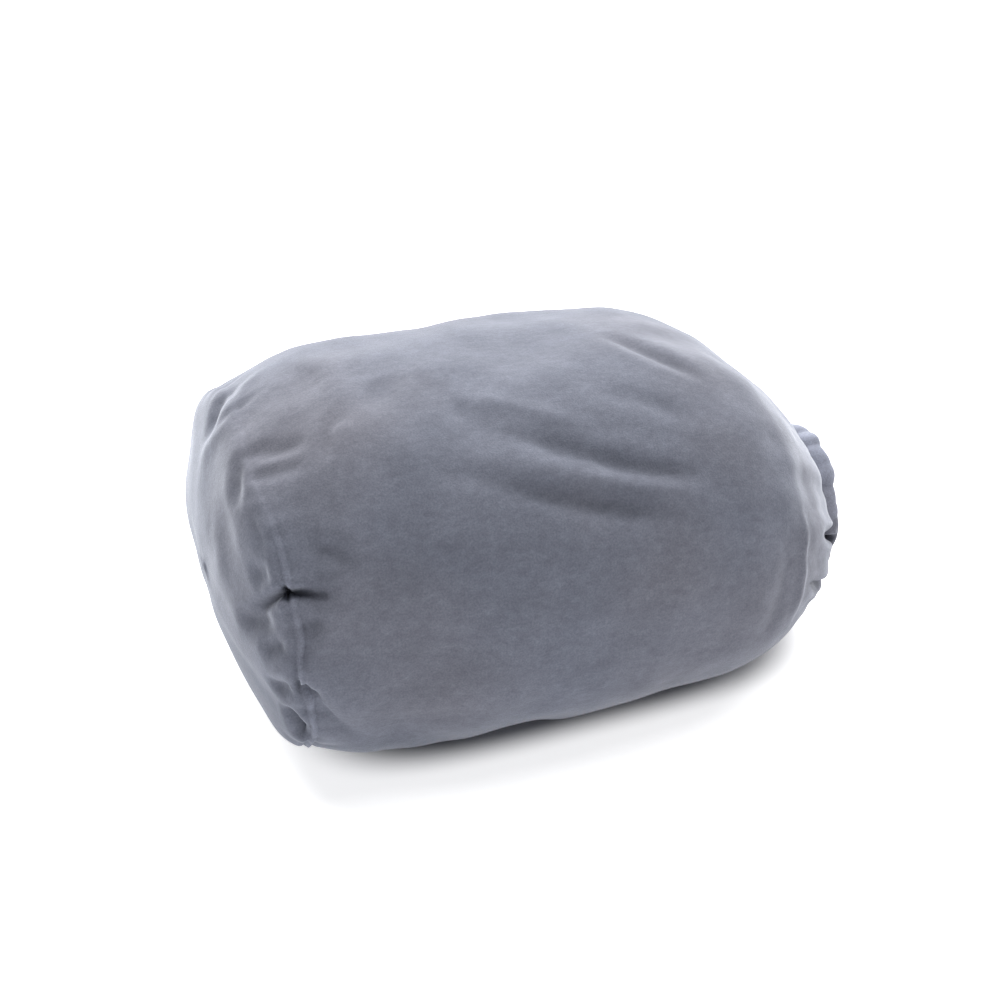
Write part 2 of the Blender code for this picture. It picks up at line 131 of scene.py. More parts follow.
# the channel round the mouth: degrees, radius of its middle line, x of its middle line
CHANNEL = np.array(
    (
        (0, 0.0285, 0.1265), (90, 0.0270, 0.1275), (140, 0.0275, 0.1268),
        (180, 0.0300, 0.1252), (215, 0.0335, 0.1225), (240, 0.0330, 0.1215),
        (270, 0.0310, 0.1220), (315, 0.0300, 0.1240), (360, 0.0285, 0.1265),
    )
)
MOUTH_Z = 0.0455
CHANNEL_HALF_LENGTH = 0.0062
CHANNEL_HALF_THICKNESS = 0.0046
NECK_START = 0.85  # share from which the sleeve closes in on the channel
NECK_LAW_END = 0.955  # share whose section the neck would reach without the channel
NECK_POWER = 1.3
MEET_RISE = 0.0005  # where the sleeve meets the channel, outward of its middle line
MEET_BACK = 0.80  # and back from it, as a share of its half length

COLUMNS = 384
AROUND = np.linspace(0, 360, COLUMNS, endpoint=False)
DOME_ROWS = 44
SLEEVE_ROWS = 176
CHANNEL_ROWS = 40
COARSE = 2  # every second row and column is simulated

# degrees, and how calmly the cloth lies over the channel there
CALM = np.array(((0, 0.0), (60, 0.2), (90, 1.0), (160, 1.0), (190, 0.4), (225, 0.0), (360, 0.0)))
CALM_RISE = 0.0034  # where calm, the cloth comes out flush with the channel
CALM_GATHERS = 0.35  # share of the pleats' depth that is missing where calm


def smooth_table(table, column, at):
    """Monotone cubic through one column of a table whose first column rises."""
    xs, ys = table[:, 0], table[:, column]
    slopes = np.diff(ys) / np.diff(xs)
    before, after = slopes[:-1], slopes[1:]
    same = before * after > 0
    mean = np.where(same, 2 * before * after / np.where(same, before + after, 1.0), 0.0)
    tangents = np.concatenate((slopes[:1], mean, slopes[-1:]))
    at = np.clip(at, xs[0], xs[-1])
    k = np.clip(np.searchsorted(xs, at, side="right") - 1, 0, len(xs) - 2)
    span = xs[k + 1] - xs[k]
    u = (at - xs[k]) / span
    rise = 3 * u**2 - 2 * u**3
    bend = (u**3 - 2 * u**2 + u) * tangents[k] + (u**3 - u**2) * tangents[k + 1]
    return ys[k] * (1 - rise) + ys[k + 1] * rise + span * bend


def smoothstep(low, high, value):
    u = np.clip((value - low) / (high - low), 0, 1)
    return u * u * (3 - 2 * u)


def signed_power(value, power):
    return np.sign(value) * np.abs(value) ** power


def unit(vectors):
    return vectors / np.linalg.norm(vectors, axis=1, keepdims=True)


def full_turn(count):
    return np.linspace(0, 2 * math.pi, count, endpoint=False)


def section(share, degrees):
    """Points of the sleeve's plain section."""
    half_width, low, high, squareness = (smooth_table(SECTIONS, i, share) for i in range(1, 5))
    sink = SINK * np.clip((SINK_END - share) / SINK_FADE, 0, 1)
    middle = (high + low - sink) / 2
    half_height = (high - low + sink) / 2
    angle = np.radians(degrees)
    squareness = squareness + UNDER_SQUARENESS * (np.sin(angle) < 0)
    y = half_width * signed_power(np.cos(angle), 2 / squareness)
    z = middle + half_height * signed_power(np.sin(angle), 2 / squareness)
    over = z - low
    z = low + (over + np.sqrt(over**2 + FLOOR_EASE**2)) / 2
    bow = smooth_table(SEAM_BOW, 1, degrees % 360) * np.clip(1 - share / SEAM_BOW_REACH, 0, 1) ** 2
    x = SEAM_X + share * (CORD_X - SEAM_X) + bow
    return np.stack((x, y, z), -1)


def channel_ring(degrees, outward=0.0, forward=0.0):
    """Points round the mouth, off the middle line of the channel."""
    angle = np.radians(degrees)
    radius = smooth_table(CHANNEL, 1, degrees % 360) + outward
    x = smooth_table(CHANNEL, 2, degrees % 360) + forward
    return np.stack((x, radius * np.cos(angle), MOUTH_Z + radius * np.sin(angle)), -1)


def sleeve(share, degrees):
    """Points of the sleeve; a share of 1 is where it meets the channel."""
    neck = np.clip((share - NECK_START) / (1 - NECK_START), 0, 1)
    law_share = np.where(
        share > NECK_START, NECK_START + neck * (NECK_LAW_END - NECK_START), share
    )
    body = section(law_share, degrees)
    calm = smooth_table(CALM, 1, degrees % 360)
    back = channel_ring(degrees, MEET_RISE + CALM_RISE * calm, -MEET_BACK * CHANNEL_HALF_LENGTH)
    weight = smoothstep(0, 1, neck)[..., None] ** NECK_POWER
    return body * (1 - weight) + back * weight


def dome(scale, degrees):
    """Points of the end panel: scale is 1 at the seam and 0 at the middle."""
    rim = section(np.zeros_like(scale), degrees)
    middle_z = (SECTIONS[0, 2] + SECTIONS[0, 3]) / 2
    bow = rim[..., 0] - SEAM_X
    x = SEAM_X + bow * scale**3 - END_BULGE * (1 - scale**DOME_POWER) ** (1 / DOME_POWER)
    return np.stack((x, rim[..., 1] * scale, middle_z + (rim[..., 2] - middle_z) * scale), -1)


def place(along, degrees):
    """A point by how far along it is: -1 to 0 over the end panel, 0 to 1 over the sleeve."""
    along, degrees = np.broadcast_arrays(np.asarray(along, float), np.asarray(degrees, float))
    on_panel = dome(np.clip(1 + along, 0, 1), degrees)
    on_sleeve = sleeve(np.clip(along, 0, 1), degrees)
    return np.where(along[..., None] < 0, on_panel, on_sleeve)


def normals_of(grid):
    """Outward normals of a grid whose rows run towards +X and whose columns go round."""
    along = np.gradient(grid, axis=0)
    around = np.roll(grid, -1, 1) - np.roll(grid, 1, 1)
    normal = np.cross(around, along)
    return normal / (np.linalg.norm(normal, axis=-1, keepdims=True) + 1e-12)


# ---------------------------------------------------------------- numbers that look random
SEED = 20
RIPPLE_WAVES = 20


def ripple(points, wavelength, seed):
    """A smooth field over points, about -1 to 1, with features about a wavelength long."""
    rng = np.random.default_rng(seed)
    total = np.zeros(points.shape[:-1])
    for _ in range(RIPPLE_WAVES):
        direction = rng.normal(size=3)
        direction /= np.linalg.norm(direction)
        wave = wavelength * rng.uniform(0.7, 1.6)
        phase = rng.uniform(0, 2 * math.pi)
        total += np.sin(points @ direction * (2 * math.pi / wave) + phase)
    return total / math.sqrt(RIPPLE_WAVES / 2)


# ---------------------------------------------------------------- folds and gathers
CLOSED_SLOPE = 2.0  # a crease this many times as deep as wide counts as closed
PRESS_REACH = 4.5  # how far from its path a crease is felt, in widths
RIM_DISTANCE = 1.9  # where its rims stand, in widths


def press(grid, normal, path, width, depth, rims, ends, shade=None):
    """Presses a crease along a path of points: width and depth in metres.

    Rims are the heights of the ridges on its two sides, or one height for both, as shares of
    the depth, and ends the shares of its length over which it starts and stops.  Shade gathers
    the painted shade of the creases, by how closed they are at each point, from 0 to 1.
    """
    path = np.asarray(path, float)
    steps = np.diff(path, axis=0)
    lengths = np.linalg.norm(steps, axis=1)
    total = lengths.sum()
    reach = PRESS_REACH * width
    low, high = path.min(0) - reach, path.max(0) + reach
    near = np.all((grid > low) & (grid < high), axis=-1)
    points, outward = grid[near], normal[near]
    nearest = np.full(len(points), 1e9)
    share = np.zeros(len(points))
    side = np.zeros(len(points))
    done = 0.0
    for start, step, length in zip(path[:-1], steps, lengths):
        off = points - start
        t = np.clip(off @ step / length**2, 0, 1)
        gap = off - t[:, None] * step
        gap -= outward * (gap * outward).sum(-1, keepdims=True)
        distance = np.linalg.norm(gap, axis=-1)
        better = distance < nearest
        nearest = np.where(better, distance, nearest)
        share = np.where(better, (done + t * length) / total, share)
        turn = (np.cross(step / length, outward) * gap).sum(-1)
        side = np.where(better, np.sign(turn), side)
        done += length
    strength = smoothstep(0, ends[0], share) * smoothstep(0, ends[1], 1 - share)
    valley = np.exp(-((nearest / width) ** 2))
    ridge = np.exp(-(((nearest - RIM_DISTANCE * width) / width) ** 2))
    height = np.where(side > 0, *np.broadcast_to(rims, 2))
    moved = depth * strength * (height * ridge - valley)
    grid[near] += outward * moved[:, None]
    if shade is not None and depth > 0:
        closed = min(1.0, depth / width / CLOSED_SLOPE)
        shade[near] = np.maximum(shade[near], closed * strength * valley**2)


BOTH = (0.40, 0.40)  # a fold that fades at both ends
LATE = (0.60, 0.30)  # deepest past its middle
FROM_SEAM = (0.02, 0.80)  # deepest at its start
TO_MOUTH = (0.80, 0.02)  # deepest at its end
INTO_MOUTH = (0.45, 0.02)  # deep from its middle on

# width and depth in mm (a depth below 0 raises a ridge), height of the rims, the ends, and
# the way: along, degrees, and so on.  Along is below 0 on the end panel, above 0 on the sleeve.
FOLDS = (
    # long folds that run towards the mouth
    (4.2, 1.9, (0.1, 0.12), BOTH, (0.57, 88, 0.599, 91, 0.649, 102, 0.72, 114)),
    (5.0, 1.1, 0.2, BOTH, (0.5, 110, 0.544, 113, 0.619, 121, 0.65, 124)),
    (4.4, 2.6, 0.08, LATE, (0.27, 112, 0.383, 122.5, 0.474, 131.5, 0.56, 138, 0.67, 143)),
    (4.5, -1.0, 0.0, BOTH, (0.29, 103, 0.373, 111, 0.439, 117, 0.5, 123)),
    (4.4, 2.7, (0.0, 0.3), LATE, (0.19, 124, 0.296, 133, 0.391, 141, 0.48, 147, 0.6, 152)),
    (8.5, -1.2, 0.0, LATE, (0.24, 118, 0.36, 129.5, 0.46, 138.5, 0.61, 147)),
    (11.0, 1.3, 0.1, BOTH, (0.185, 94, 0.213, 97, 0.235, 99)),
    (5.5, 1.1, 0.1, BOTH, (0.28, 108, 0.298, 109, 0.312, 110)),
    (3.2, 0.7, (0.4, 0.2), BOTH, (0.075, 124, 0.083, 119, 0.103, 108, 0.155, 101)),
    (14.0, 1.2, 0.1, BOTH, (0.3, 92, 0.42, 92, 0.54, 96)),
    # the shoulder on the near side, beside the mouth, and deep pleats in it
    (6.0, 1.9, 0.0, BOTH, (0.768, 154, 0.762, 169, 0.738, 187, 0.7, 199)),
    (2.4, -1.5, 0.0, BOTH, (0.81, 150, 0.8, 168, 0.79, 184, 0.775, 203)),
    (2.3, 3.8, 0.3, INTO_MOUTH, (0.855, 164, 0.907, 170, 0.95, 177, 0.995, 184)),
    (2.4, 4.0, 0.3, INTO_MOUTH, (0.79, 180, 0.847, 186, 0.91, 196, 0.995, 206)),
    (2.0, 2.4, 0.3, TO_MOUTH, (0.86, 206, 0.93, 211, 0.995, 216)),
    # soft waves on the sides that the first view does not show
    (8.0, 2.4, (0.4, 0.3), BOTH, (0.3, 60, 0.45, 52, 0.62, 48)),
    (6.0, 2.8, (0.4, 0.3), BOTH, (0.42, 30, 0.55, 27, 0.72, 20)),
    (9.0, 2.0, 0.3, BOTH, (0.25, 10, 0.4, 2, 0.52, -4)),
    (6.0, 2.2, 0.3, BOTH, (0.5, -18, 0.62, -20, 0.74, -20)),
    # creases that start at the sewn end's seam
    (2.2, 5.0, 0.2, FROM_SEAM, (-0.012, 153, 0.02, 156, 0.038, 158.5, 0.066, 160.5)),
    (2.2, 5.5, (0.0, 0.05), (0.7, 0.02), (-0.3, 164, -0.16, 159.5, -0.05, 155.5, 0.005, 153.5)),
    (1.8, 2.6, 0.1, FROM_SEAM, (-0.014, 181, 0.002, 182.5, 0.014, 184.5, 0.028, 187)),
    (3.4, 6.4, 0.05, BOTH, (-0.1, 192, -0.055, 197, -0.026, 203, -0.008, 212)),
    (4.6, 1.8, 0.0, BOTH, (-0.03, 102, 0.012, 104, 0.045, 107, 0.085, 110)),
    (4.0, 1.2, 0.0, BOTH, (-0.02, 112, 0.028, 114, 0.07, 117)),
    (5.0, 2.0, 0.0, BOTH, (-0.01, 100, -0.04, 107, -0.09, 112.5, -0.12, 122)),
    (4.0, 1.6, 0.0, BOTH, (-0.075, 120, -0.045, 130, -0.03, 144)),
    (5.0, 2.8, 0.0, BOTH, (-0.24, 82, -0.128, 77.5, -0.03, 74, 0.02, 72)),
    (3.8, -1.0, 0.0, BOTH, (0.075, 71, 0.018, 77, -0.012, 89)),
    (4.6, -1.0, 0.0, BOTH, (-0.006, 91, -0.1, 88, -0.232, 84, -0.415, 69)),
    (5.5, -0.8, 0.0, BOTH, (-0.17, 100, -0.2, 118, -0.22, 134, -0.26, 152)),
    (5.0, 3.4, (0.0, 0.1), BOTH, (-0.05, 163, -0.22, 168, -0.42, 176)),
    (5.0, 2.2, 0.0, BOTH, (-0.22, 150, -0.1, 147, -0.01, 146)),
    (4.0, 3.0, (0.0, 0.1), BOTH, (-0.01, 170, -0.085, 174, -0.2, 179)),
    (3.6, 3.0, (0.0, 0.1), BOTH, (-0.01, 181, -0.09, 185, -0.2, 190)),
    (3.8, 1.8, 0.3, BOTH, (0.025, 139, 0.048, 144, 0.08, 151, 0.105, 154)),
    (3.0, 1.2, 0.2, BOTH, (-0.01, 166, 0.03, 167, 0.06, 168)),
    (6.0, -0.8, 0.0, BOTH, (-0.46, 105, -0.5, 125, -0.56, 160)),
)
PUCKER_COUNT = 44
PUCKER_CLEAR = (30, 240)  # degrees between which the folds above stand instead
PUCKER_CALM = 0.2  # share of its depth that a pucker keeps there
PUCKER_RIMS = 0.2


def seam_puckers():
    """Small creases across the end seam, on the sides that the named folds leave free."""
    rng = np.random.default_rng(SEED)
    found = []
    for i in range(PUCKER_COUNT):
        degrees = (i + rng.uniform(0.2, 0.8)) * 360 / PUCKER_COUNT
        width = rng.uniform(1.8, 3.2)
        depth = rng.uniform(0.7, 2.6)
        back = rng.uniform(0.05, 0.16)
        ahead = rng.uniform(0.02, 0.07)
        slant = rng.uniform(-4, 4)
        if PUCKER_CLEAR[0] < degrees < PUCKER_CLEAR[1]:
            depth *= PUCKER_CALM
        way = (-back, degrees - slant, 0.0, degrees, ahead, degrees + slant)
        found.append((width, depth, PUCKER_RIMS, BOTH, way))
    return found


def fold_path(way, pieces=10):
    """A smooth path of points through the pairs of along and degrees of a fold."""
    way = np.reshape(way, (-1, 2))
    t = np.linspace(0, 1, len(way))
    fine = np.linspace(0, 1, pieces + 1)
    table = np.column_stack((t, way))
    return place(smooth_table(table, 1, fine), smooth_table(table, 2, fine))


GATHER_COUNT = 21
GATHER_DEPTH = 0.0046
GATHER_WIDTH = 0.0029
GATHER_SPREAD = 1.9  # how much wider a pleat is where it ends, as a share
GATHER_FADE = 0.75
GATHER_POWER = 1.6
GATHER_WANDER = 2.0  # degrees


def gather_table():
    """The pleats' valleys: degrees at the channel, strength, reach and drift of each."""
    rng = np.random.default_rng(SEED + 1)
    rows = []
    for i in range(GATHER_COUNT):
        degrees = (i + rng.uniform(0.12, 0.88)) * 360 / GATHER_COUNT
        strength = rng.uniform(0.35, 1.15)
        reach = rng.uniform(0.72, 0.90)
        rows.append((degrees, strength, reach, rng.uniform(-8, 8)))
    return rows


GATHERS = gather_table()


def gather_depth(share, degrees, radius):
    """How far the pleats press in at each point of the neck."""
    total = np.zeros(np.broadcast(share, degrees).shape)
    for at, strength, reach, drift in GATHERS:
        open_share = np.clip((1 - share) / (1 - reach), 0, 1)
        line = at + drift * open_share + GATHER_WANDER * np.sin(open_share * 3 + at)
        off = (degrees - line + 180) % 360 - 180
        distance = np.radians(off) * radius
        width = GATHER_WIDTH * (1 + GATHER_SPREAD * open_share)
        depth = GATHER_DEPTH * strength * (1 - open_share) ** GATHER_FADE
        total += depth * np.exp(-np.abs(distance / width) ** GATHER_POWER)
    return total * (1 - CALM_GATHERS * smooth_table(CALM, 1, degrees % 360))


# ---------------------------------------------------------------- cloth
CLOTH_FRAMES = 20
CLOTH_SETTINGS = {
    "vertex_group_mass": "pin",
    "vertex_group_shrink": "shrink",
    "shrink_min": -0.012,  # the cloth's slack
    "shrink_max": 0.07,  # and how much tighter it is at the seam
    "use_pressure": True,
    "uniform_pressure_force": 4.0,
    "quality": 5,
    "tension_stiffness": 15,
    "compression_stiffness": 15,
    "bending_stiffness": 1.5,
}
CLOTH_HELD = 0.93  # share along the sleeve from which it is held
CLOTH_SEAM = 0.03  # share along it over which the seam's tightness fades
CLOTH_CAP = 0.0050  # the cloth moves no point further than this
CLOTH_EASE = 3  # rounds of smoothing that soften the cloth's sharpest ridges
CLOTH_FORM = 0.85  # share of the cloth's broad swelling that is taken off again
CLOTH_BROAD = 9  # points over which a swelling counts as broad
PANEL_BROAD = 5  # points over which the panel's shift is smoothed once more


def inflated(points, faces, held, tight):
    """Runs the cloth under pressure and returns where its points come to rest."""
    mesh = bpy.data.meshes.new("cloth")
    mesh.from_pydata(points.tolist(), [], faces)
    piece = linked("cloth", mesh)
    for name, weights in (("pin", held), ("shrink", tight)):
        group = piece.vertex_groups.new(name=name)
        for i in np.nonzero(weights > 0)[0]:
            group.add([int(i)], float(weights[i]), "REPLACE")
    cloth = piece.modifiers.new("cloth", "CLOTH")
    for name, value in CLOTH_SETTINGS.items():
        setattr(cloth.settings, name, value)
    cloth.settings.effector_weights.gravity = 0
    cloth.collision_settings.use_self_collision = False
    cloth.point_cache.frame_start = 1
    cloth.point_cache.frame_end = CLOTH_FRAMES
    for number in range(1, CLOTH_FRAMES + 1):
        SCENE.frame_set(number)
    bpy.context.view_layer.objects.active = piece
    piece.select_set(True)
    bpy.ops.object.modifier_apply(modifier=cloth.name)
    moved = np.zeros(len(mesh.vertices) * 3)
    piece.data.vertices.foreach_get("co", moved)
    bpy.data.objects.remove(piece)
    SCENE.frame_set(1)
    return moved.reshape(-1, 3)


def broad(field, reach, passes):
    """The slow part of a field that closes round: means over so many points, repeated."""
    half = reach // 2
    for _ in range(passes):
        padded = np.concatenate((field[:1].repeat(half, 0), field, field[-1:].repeat(half, 0)))
        field = sum(padded[i : i + len(field)] for i in range(reach)) / reach
        field = sum(np.roll(field, i - half, 1) for i in range(reach)) / reach
    return field


def refine(field):
    """Puts a row and a column of cubic steps between those of a field that closes round."""
    ahead, beyond = np.roll(field, -1, 1), np.roll(field, -2, 1)
    before = np.roll(field, 1, 1)
    middle = (9 * (field + ahead) - before - beyond) / 16
    wide = np.empty((field.shape[0], field.shape[1] * 2, 3))
    wide[:, 0::2] = field
    wide[:, 1::2] = middle
    padded = np.concatenate((wide[:1], wide, wide[-1:]))
    between = (9 * (padded[1:-2] + padded[2:-1]) - padded[:-3] - padded[3:]) / 16
    tall = np.empty((wide.shape[0] * 2 - 1, wide.shape[1], 3))
    tall[0::2] = wide
    tall[1::2] = between
    return tall


# ---------------------------------------------------------------- meshes
def grid_faces(rows, columns, closed_rows=False):
    """Quads of a grid that closes round, and along too if asked."""
    faces = []
    for i in range(rows if closed_rows else rows - 1):
        low, high = i * columns, (i + 1) % rows * columns
        for j in range(columns):
            k = (j + 1) % columns
            faces.append((low + j, low + k, high + k, high + j))
    return faces


def add_piece(name, points, faces, material, body):
    mesh = bpy.data.meshes.new(name)
    mesh.from_pydata(np.asarray(points).reshape(-1, 3).tolist(), [], faces)
    mesh.materials.append(material)
    mesh.update()
    mesh.polygons.foreach_set("use_smooth", [True] * len(mesh.polygons))
    piece = linked(name, mesh)
    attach(piece, body)
    return piece


def closed_grid(grid):
    """Points and faces of a grid closed by a middle point at each end."""
    rows, columns = grid.shape[:2]
    points = grid.reshape(-1, 3)
    faces = grid_faces(rows, columns)
    first, last = len(points), len(points) + 1
    points = np.concatenate((points, grid[0].mean(0)[None], grid[-1].mean(0)[None]))
    top = (rows - 1) * columns
    for j in range(columns):
        k = (j + 1) % columns
        faces.append((first, k, j))
        faces.append((last, top + j, top + k))
    return points, faces


def tube(path, radius, sides, closed=False):
    """Points and faces of a round tube along a path; its ends are capped if it is open."""
    path = np.asarray(path, float)
    if closed:
        tangents = np.roll(path, -1, 0) - np.roll(path, 1, 0)
    else:
        tangents = np.gradient(path, axis=0)
    tangents = unit(tangents)
    helper = np.array((0.0, 0.0, 1.0))
    if abs(tangents[0] @ helper) > 0.9:
        helper = np.array((1.0, 0.0, 0.0))
    across = np.cross(tangents[0], helper)
    rings = []
    turn = full_turn(sides)
    for point, tangent in zip(path, tangents):
        across = across - tangent * (across @ tangent)
        across /= np.linalg.norm(across)
        up = np.cross(tangent, across)
        rings.append(point + radius * (np.outer(np.cos(turn), across) + np.outer(np.sin(turn), up)))
    grid = np.array(rings)
    if closed:
        return grid.reshape(-1, 3), grid_faces(len(grid), sides, True)
    return closed_grid(grid)


def joined(parts):
    """One list of points and faces from several."""
    points, faces, base = [], [], 0
    for more_points, more_faces in parts:
        points.append(more_points)
        faces += [tuple(base + i for i in f) for f in more_faces]
        base += len(more_points)
    return np.concatenate(points), faces


# ---------------------------------------------------------------- materials
def new_material(name, roughness, sheen=0.0, sheen_roughness=0.4, sheen_tint=(1, 1, 1)):
    material = bpy.data.materials.new(name)
    material.use_nodes = True
    tree = material.node_tree
    shader = tree.nodes["Principled BSDF"]
    shader.inputs["Roughness"].default_value = roughness
    shader.inputs["Sheen Weight"].default_value = sheen
    shader.inputs["Sheen Roughness"].default_value = sheen_roughness
    shader.inputs["Sheen Tint"].default_value = (*sheen_tint, 1)
    return material, tree, shader


def add_node(tree, kind, values, links, **settings):
    """A node with its settings, its inputs' values and what its inputs are linked to."""
    node = tree.nodes.new("ShaderNode" + kind)
    for name, value in settings.items():
        setattr(node, name, value)
    for name, value in values.items():
        node.inputs[name].default_value = value
    for name, output in links.items():
        tree.links.new(output, node.inputs[name])
    return node


def coordinates(tree, scale):
    """Object coordinates, stretched by three scales."""
    source = add_node(tree, "TexCoord", {}, {}).outputs["Object"]
    return add_node(tree, "Mapping", {"Scale": scale}, {"Vector": source}).outputs["Vector"]


def noise(tree, vector, scale, detail=3.0, roughness=0.55):
    values = {"Scale": scale, "Detail": detail, "Roughness": roughness}
    return add_node(tree, "TexNoise", values, {"Vector": vector}).outputs["Fac"]


def ramp(tree, value, *stops):
    """A colour ramp between two stops, each of them (place, colour)."""
    node = add_node(tree, "ValToRGB", {}, {"Fac": value})
    for element, (at, colour) in zip(node.color_ramp.elements, stops):
        element.position = at
        element.color = (*colour, 1)
    return node.outputs["Color"]


def multiplied(tree, first, second, factor=1.0):
    settings = {"data_type": "RGBA", "blend_type": "MULTIPLY"}
    node = add_node(tree, "Mix", {"Factor": factor}, {"A": first, "B": second}, **settings)
    return node.outputs["Result"]


def bumped(tree, shader, *layers):
    """Chains bumps onto the shader: layers are (height, strength, distance)."""
    links = {}
    for height, strength, distance in layers:
        links["Height"] = height
        node = add_node(tree, "Bump", {"Strength": strength, "Distance": distance}, links)
        links["Normal"] = node.outputs["Normal"]
    tree.links.new(links["Normal"], shader.inputs["Normal"])


def grey(value):
    return (value, value, value)


PAINTED_LIGHT_ATTRIBUTE = "painted_shade_and_highlight"
CREASE_PAINTED_SHADE = 0.62  # painted shade: share by which the colour is darkened in a closed crease


def add_painted_shade_and_highlight(tree, colour):
    """Darkens a colour with painted shade where the pile closes on itself in creases, and lightens
    it with painted highlights on the seam's edge and round the mouth.
    """
    painted_shade_and_highlight = add_node(tree, "Attribute", {}, {}, attribute_name=PAINTED_LIGHT_ATTRIBUTE).outputs["Fac"]
    values = {1: -CREASE_PAINTED_SHADE, 2: 1.0}
    share = add_node(tree, "Math", values, {0: painted_shade_and_highlight}, operation="MULTIPLY_ADD")
    links = {0: colour, "Scale": share.outputs["Value"]}
    return add_node(tree, "VectorMath", {}, links, operation="SCALE").outputs["Vector"]


def velour_material(name, dark, light, warm):
    """Brushed pile: patches of nap that lies over one way or the other, and fine grain."""
    material, tree, shader = new_material(name, 0.9, 0.44, 0.35, (0.88, 0.92, 1.0))
    shader.inputs["Specular IOR Level"].default_value = 0.15
    plain = coordinates(tree, (1, 1, 1))
    patches = noise(tree, coordinates(tree, (0.45, 1.0, 1.0)), 75, 5, 0.65)
    streaks = noise(tree, coordinates(tree, (0.5, 1.0, 1.0)), 450, 3, 0.6)
    grain = noise(tree, plain, 1500, 2, 0.6)
    colour = ramp(tree, patches, (0.25, dark), (0.75, light))
    for field, low, high in (
        (noise(tree, plain, 9, 2), (0.42, grey(1)), (0.66, warm)),
        (noise(tree, plain, 260, 3, 0.6), (0.3, grey(0.93)), (0.7, grey(1.06))),
        (streaks, (0.30, grey(0.92)), (0.70, grey(1.06))),
        (grain, (0.30, grey(0.84)), (0.70, grey(1.12))),
    ):
        colour = multiplied(tree, colour, ramp(tree, field, low, high))
    # painted shade in the creases and painted highlights on the seam's edge and round the mouth
    tree.links.new(add_painted_shade_and_highlight(tree, colour), shader.inputs["Base Color"])
    bumped(tree, shader, (patches, 0.15, 0.0010), (streaks, 0.2, 0.0003), (grain, 0.5, 0.00022))
    return material


def woven_material(name, dark, light, pitch, roughness=0.75, sheen=0.2):
    """Plain weave: crossed waves of thread."""
    material, tree, shader = new_material(name, roughness, sheen)
    plain = coordinates(tree, (1, 1, 1))
    values = {"Scale": 1 / pitch / 3, "Distortion": 0.6}
    x, y, z = (
        add_node(tree, "TexWave", values, {"Vector": plain}, bands_direction=axis).outputs["Fac"]
        for axis in "XYZ"
    )
    weave = multiplied(tree, multiplied(tree, x, y, 0.7), z, 0.5)
    colour = ramp(tree, noise(tree, plain, 60, 3), (0.3, dark), (0.7, light))
    threads = ramp(tree, weave, (0.0, grey(0.72)), (0.6, grey(1.08)))
    tree.links.new(multiplied(tree, colour, threads), shader.inputs["Base Color"])
    bumped(tree, shader, (weave, 0.6, pitch * 0.4), (noise(tree, plain, 1800, 2), 0.3, 0.0001))
    return material


def moulded_material(name, dark, light, roughness, metallic=0.0):
    """Moulded plastic or plated metal: fine grain and faint wear."""
    material, tree, shader = new_material(name, roughness)
    shader.inputs["Metallic"].default_value = metallic
    plain = coordinates(tree, (1, 1, 1))
    wear = noise(tree, plain, 260, 4, 0.6)
    colour = ramp(tree, wear, (0.35, dark), (0.75, light))
    tree.links.new(colour, shader.inputs["Base Color"])
    values = {"To Min": roughness - 0.1, "To Max": roughness + 0.15}
    spread = add_node(tree, "MapRange", values, {"Value": wear})
    tree.links.new(spread.outputs["Result"], shader.inputs["Roughness"])
    bumped(tree, shader, (noise(tree, plain, 3500, 2), 0.25, 0.00008))
    return material


VELOUR = velour_material(
    "velour", (0.113, 0.121, 0.152), (0.149, 0.159, 0.197), (1.04, 0.99, 0.95)
)
COVER = velour_material(
    "pillow_cover", (0.150, 0.160, 0.195), (0.195, 0.206, 0.250), (1.03, 0.99, 0.96)
)
TAPE = woven_material("tape", (0.10, 0.105, 0.13), (0.14, 0.15, 0.18), 0.0006)
CORD = woven_material("cord", (0.055, 0.058, 0.070), (0.095, 0.10, 0.12), 0.0005)
THREAD = woven_material("thread", (0.16, 0.17, 0.21), (0.22, 0.23, 0.28), 0.0002, 0.6)
FOAM = woven_material("foam", (0.62, 0.60, 0.55), (0.75, 0.73, 0.68), 0.0015, 0.9, 0.0)
LABEL = woven_material("label", (0.66, 0.67, 0.68), (0.80, 0.80, 0.80), 0.00045, 0.5)
EYELET = moulded_material("eyelet", (0.16, 0.16, 0.17), (0.34, 0.34, 0.35), 0.35, 1.0)
SPRING = moulded_material("spring", (0.42, 0.42, 0.43), (0.62, 0.62, 0.62), 0.28, 1.0)
PLASTIC = moulded_material("lock", (0.018, 0.019, 0.021), (0.045, 0.046, 0.050), 0.45)


# ---------------------------------------------------------------- the pouch
SEAM_GROOVE_WIDTH = 0.0012
SEAM_GROOVE_DEPTH = 0.0011
SEAM_RIDGE_HEIGHT = 0.0008
SEAM_RIDGE_WIDTH = 0.0007
SEAM_PAINTED_HIGHLIGHT = 0.60  # painted highlight on the seam's raised edge: how much lighter it is painted, on the scale of a crease
MOUTH_PAINTED_HIGHLIGHT = 0.35  # painted highlight, the same on the sleeve beside the mouth
HEM_PAINTED_HIGHLIGHT = 1.0  # painted highlight, and on the channel
HEM_SHADE = 0.8  # painted shade in the pleats between the channel's ribs, by how closed they look
